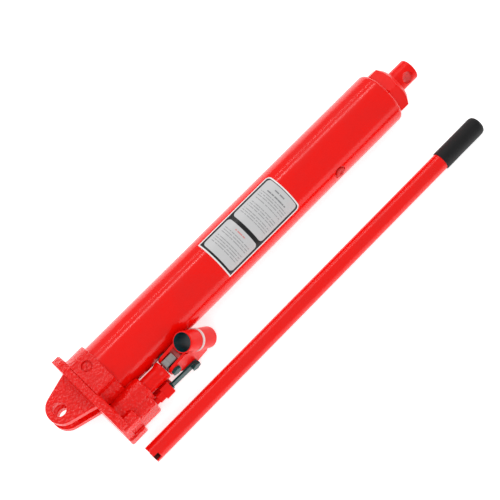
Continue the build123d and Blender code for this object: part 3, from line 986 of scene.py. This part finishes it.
@dataclass
class CastFillets:
    """The cast-in fillets where the walls of the base meet its flange."""

    paintwork: Paintwork
    flange_top: float = 46.0
    flange_bottom: float = 34.0
    boss_radius: float = 43.0
    boss_fillet: float = 3.4
    pump_radius: float = 17.8
    pump_fillet: float = 3.6
    ear_face: float = 17.75
    ear_half: float = 29.0
    ear_fillet: float = 3.0
    boss_turn: tuple[float, float] = (-112.0, -30.0)
    pump_turn: tuple[float, float] = (-62.0, 58.0)
    round_power: float = 0.4
    straight_power: float = 0.3
    round_stations: int = 72
    straight_stations: int = 48
    steps: int = 10
    sink: float = 0.6

    def build(self) -> None:
        """Lays every fillet of the base."""
        made = [
            self._round("boss_fillet", 0.0, self.boss_radius, self.boss_fillet, self.boss_turn),
            self._round("pump_fillet", PUMP_X, self.pump_radius, self.pump_fillet, self.pump_turn),
            self._straight("ear_fillet_front", -1.0),
            self._straight("ear_fillet_back", 1.0),
        ]
        for piece in made:
            dress(piece, self.paintwork.materials["cast_enamel"])
            settle(piece, Body.FRAME)

    def _section(self, size: np.ndarray) -> tuple[np.ndarray, np.ndarray]:
        """Draws the section at each station: out 1 - sin a and up 1 - cos a, times the size.

        The hollow curve is closed by a corner sunk in the metal behind it.

        Args:
            size: Column of fillet radii.

        Returns:
            Distance from the wall and from the floor at each point.
        """
        turn = np.linspace(0, np.pi / 2, self.steps)
        out, up = size * (1 - np.sin(turn)), size * (1 - np.cos(turn))
        low = np.full_like(size, -self.sink)
        return np.hstack([out, low, low, out[:, :1]]), np.hstack([up, up[:, -1:], low, low])

    def _round(
        self, name: str, wall_x: float, radius: float, fillet: float, turn: tuple[float, float]
    ) -> bpy.types.Object:
        """Carries the section round a wall that stands on the flange.

        The fillet's radius is fillet sin(pi t)^round_power, with t from 0 to 1 along it, so both
        its ends run out to nothing.

        Args:
            name: The piece's name.
            wall_x: Where the wall's axis stands.
            radius: The wall's radius.
            fillet: The fillet's largest radius.
            turn: First and last turn from the front, in degrees.

        Returns:
            The fillet.
        """
        share = along_run(self.round_stations)
        angle = np.radians(turn[0] + (turn[1] - turn[0]) * share)
        size = fillet * np.sin(np.pi * share) ** self.round_power
        out, up = self._section(size)
        x = wall_x + (radius + out) * np.sin(angle)
        y = -(radius + out) * np.cos(angle)
        return sweep(name, np.stack([x, y, self.flange_top + up], axis=-1))

    def _straight(self, name: str, side: float) -> bpy.types.Object:
        """Carries the section along an ear, under the flange.

        Args:
            name: The piece's name.
            side: -1 for the front ear and 1 for the back one.

        Returns:
            The fillet.
        """
        share = along_run(self.straight_stations)
        size = self.ear_fillet * np.sin(np.pi * share) ** self.straight_power
        out, down = self._section(size)
        x = np.broadcast_to(self.ear_half * (2 * share - 1), out.shape)
        y = side * (self.ear_face + out)
        return sweep(name, np.stack([x, y, self.flange_bottom - down], axis=-1))


@dataclass
class LeverWelds:
    """The smooth webs where the lever's cheeks run into its socket."""

    paintwork: Paintwork
    mouth: tuple[float, float] = (-21.5, 164.0)
    socket_radius: float = 14.0
    cheek: float = 11.4
    run: tuple[float, float] = (7.0, 54.0)
    reach: float = 2.0
    drop: float = 4.5
    swell: float = 0.4
    end_power: float = 0.25
    stations: int = 40
    steps: int = 9
    sink: float = 0.5

    def build(self) -> None:
        """Lays one web on each side of the socket."""
        for piece in (self._web("lever_web_right", 1.0), self._web("lever_web_left", -1.0)):
            dress(piece, self.paintwork.materials["fitting_enamel"])
            settle(piece, Body.LEVER)

    def _web(self, name: str, side: float) -> bpy.types.Object:
        """Carries a hollow web along the socket, between its round side and the cheek's flat face.

        With s = sin(pi t)^end_power, the web leaves the socket at x = cheek + reach s and meets the
        cheek drop s below the corner of the two. Between them it is a quadratic curve whose middle
        point lies at that corner, moved by swell.

        Args:
            name: The piece's name.
            side: 1 for the side away from the reservoir and -1 for the near one.

        Returns:
            The web.
        """
        share = along_run(self.stations)
        size = np.sin(np.pi * share) ** self.end_power
        t = np.linspace(0, 1, self.steps)[None, :]
        start_x = self.cheek + self.reach * size
        start_fall = np.sqrt(self.socket_radius**2 - start_x**2)
        corner_fall = np.sqrt(self.socket_radius**2 - self.cheek**2)
        end_fall = corner_fall + self.drop * size
        x = start_x * (1 - t) ** 2 + self.cheek * (2 * t * (1 - t) + t**2)
        middle = corner_fall + self.swell
        fall = start_fall * (1 - t) ** 2 + middle * 2 * t * (1 - t) + end_fall * t**2
        inner = np.full_like(share, self.cheek - self.sink)
        x = np.concatenate([x, inner, inner, start_x - self.sink], axis=1)
        corner = np.full_like(share, corner_fall)
        fall = np.concatenate([fall, end_fall, corner, start_fall - self.sink], axis=1)
        along = self.run[0] + (self.run[1] - self.run[0]) * share
        slope_y, slope_z = np.cos(SOCKET_SLOPE), np.sin(SOCKET_SLOPE)
        y = self.mouth[0] + along * slope_y + fall * slope_z
        z = self.mouth[1] + along * slope_z - fall * slope_y
        return sweep(name, np.stack([PUMP_X + side * x, y, z], axis=-1))


@dataclass
class HandleGrip:
    """The black vinyl sleeve over the top of the handle."""

    paintwork: Paintwork
    centre: tuple[float, float] = (113.0, 24.75)
    radius: float = 13.25
    tube_radius: float = 12.0
    bottom: float = 571.0
    top: float = 644.0
    crown: float = 8.5
    lip: float = 0.7
    waist: float = 0.15
    crown_power: float = 2.3
    end_wall: float = 3.0
    clear: float = 0.02
    around: int = 96

    def build(self) -> None:
        """Turns the sleeve: a thin rolled lip, a faintly waisted wall and a domed closed end.

        The wall's radius is r - waist sin(pi t), and the crown is a quarter of a superellipse of
        power crown_power between the wall and the flat middle of the end.
        """
        wall_t = np.linspace(0, 1, 24)
        wall_z = self.bottom + self.lip + (self.top - self.crown - self.bottom - self.lip) * wall_t
        wall_r = self.radius - self.waist * np.sin(np.pi * wall_t)
        turn = np.linspace(0, np.pi / 2, 14)[1:]
        flat = self.radius - self.crown
        power = 2 / self.crown_power
        crown_r = flat + self.crown * np.cos(turn) ** power
        crown_z = self.top - self.crown + self.crown * np.sin(turn) ** power
        inner = self.tube_radius + self.clear
        floor = self.top - self.end_wall + self.clear
        roll = np.linspace(-np.pi / 2, 0, 6)[:-1]
        lip_r = self.radius - self.lip + self.lip * np.cos(roll)
        lip_z = self.bottom + self.lip + self.lip * np.sin(roll)
        radius = np.concatenate([lip_r, wall_r, crown_r, [0.0, 0.0, inner, inner]])
        height = np.concatenate([lip_z, wall_z, crown_z, [self.top, floor, floor, self.bottom]])
        piece = lathe("grip_sleeve", np.stack([radius, height], axis=-1), self.centre, self.around)
        dress(piece, self.paintwork.materials["vinyl_grip"])
        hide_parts("handle_grip")
        settle(piece, Body.HANDLE)


# ---- studio ----


@dataclass(frozen=True)
class Lamp:
    """One soft rectangular light: where it stands, what it faces, its size and its power."""

    name: str
    place: Point
    aim: Point
    size: tuple[float, float]
    watts: float


@dataclass
class Studio:
    """Plain pale floor, soft lights and the camera."""

    floor_height: float = -0.038
    floor_half: float = 14.0
    sky: float = 0.78
    sky_in_gloss: float = 0.3
    floor_glow: float = 0.64
    floor_white: Colour = (0.9, 0.9, 0.9)
    floor_roughness: float = 0.9
    lens: float = 105.03
    sensor: float = 36.0
    clip: tuple[float, float] = (0.05, 60.0)
    camera_right: Point = (0.70173, 0.69707, -0.14718)
    camera_up: Point = (-0.61324, 0.69615, 0.37324)
    camera_back: Point = (0.36264, -0.17166, 0.91598)
    camera_place: Point = (0.69769, -0.00784, 1.70641)

    def build(self) -> None:
        """Sets the room, the lights and the camera."""
        self._floor()
        self._world()
        for lamp in self._lamps():
            self._hang(lamp)
        self._camera()
        bpy.context.scene.view_settings.view_transform = "Standard"

    def _floor(self) -> None:
        """Lays the floor: a pale matt sheet that glows a little, so that it stays white."""
        side = self.floor_half
        line = np.linspace(-side, side, 3)
        x, y = np.meshgrid(line, line)
        points = np.stack([x, y, np.full_like(x, self.floor_height)], axis=-1).reshape(-1, 3)
        floor = add_piece("floor", points, quads(3, 3).tolist())
        material, g, shader = new_material("floor_sheet")
        paint = {"Base Color": self.floor_white, "Roughness": self.floor_roughness}
        glow = {"Emission Color": WHITE, "Emission Strength": self.floor_glow}
        g.feed_all(shader, {**paint, **glow})
        dress(floor, material)

    def _world(self) -> None:
        """Sets an even pale sky that gloss sees darker, as black cards would make it."""
        world = bpy.data.worlds.new("studio")
        bpy.context.scene.world = world
        world.use_nodes = True
        g = Graph(world.node_tree)
        background = next(n for n in world.node_tree.nodes if n.type == "BACKGROUND")
        glossy = g.add("LightPath").outputs["Is Glossy Ray"]
        strength = g.math("MULTIPLY_ADD", glossy, self.sky_in_gloss - self.sky, self.sky)
        g.feed_all(background, {"Color": WHITE, "Strength": strength})

    def _lamps(self) -> list[Lamp]:
        """Lists the lights.

        Returns:
            Two narrow strips beside the ram and a small light over the pump.
        """
        return [
            Lamp("strip_high", (-0.98, 0.6, 1.42), (0.0, 0.35, 0.0), (0.035, 2.2), 5.5),
            Lamp("strip_low", (-1.4, 0.6, 1.02), (0.0, 0.35, 0.0), (0.035, 2.2), 2.6),
            Lamp("pump_strip", (1.25, -0.75, 1.5), (0.05, 0.08, 0.0), (0.16, 0.4), 4.5),
        ]

    def _hang(self, lamp: Lamp) -> None:
        """Hangs one light with its long side along the ram.

        Args:
            lamp: The light.
        """
        data = bpy.data.lights.new(lamp.name, "AREA")
        data.shape = "RECTANGLE"
        data.size, data.size_y = lamp.size
        data.energy = lamp.watts
        holder = bpy.data.objects.new(lamp.name, data)
        back = np.subtract(lamp.place, lamp.aim)
        back = back / np.linalg.norm(back)
        right = np.cross(RAM_AXIS, back)
        right = right / np.linalg.norm(right)
        holder.matrix_world = frame_matrix(right, np.cross(back, right), back, lamp.place)
        bpy.context.scene.collection.objects.link(holder)

    def _camera(self) -> None:
        """Stands the camera over the jack, slightly towards the pump and below its middle."""
        data = bpy.data.cameras.new("camera")
        data.lens = self.lens
        data.sensor_width = self.sensor
        data.clip_start, data.clip_end = self.clip
        camera = bpy.data.objects.new("camera", data)
        camera.matrix_world = frame_matrix(
            self.camera_right, self.camera_up, self.camera_back, self.camera_place
        )
        bpy.context.scene.collection.objects.link(camera)
        bpy.context.scene.camera = camera


def frame_matrix(
    right: Sequence[float], up: Sequence[float], back: Sequence[float], place: Point
) -> Matrix:
    """Builds the matrix of something that looks along minus back.

    Args:
        right: Its right-hand direction.
        up: Its upward direction.
        back: The direction behind it.
        place: Where it stands.

    Returns:
        The placing matrix.
    """
    columns = np.eye(4)
    columns[:3, 0], columns[:3, 1], columns[:3, 2], columns[:3, 3] = right, up, back, place
    return Matrix(columns.tolist())


def main() -> None:
    """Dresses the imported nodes, builds the new pieces and sets the studio."""
    logging.basicConfig(level=logging.INFO, format="%(name)s: %(message)s")
    paintwork = Paintwork(Effects())
    paintwork.dress_nodes(frame["nodes"])
    TubeLabel(paintwork).build()
    CastFillets(paintwork).build()
    LeverWelds(paintwork).build()
    HandleGrip(paintwork).build()
    Studio().build()


if __name__ == "__main__":
    main()
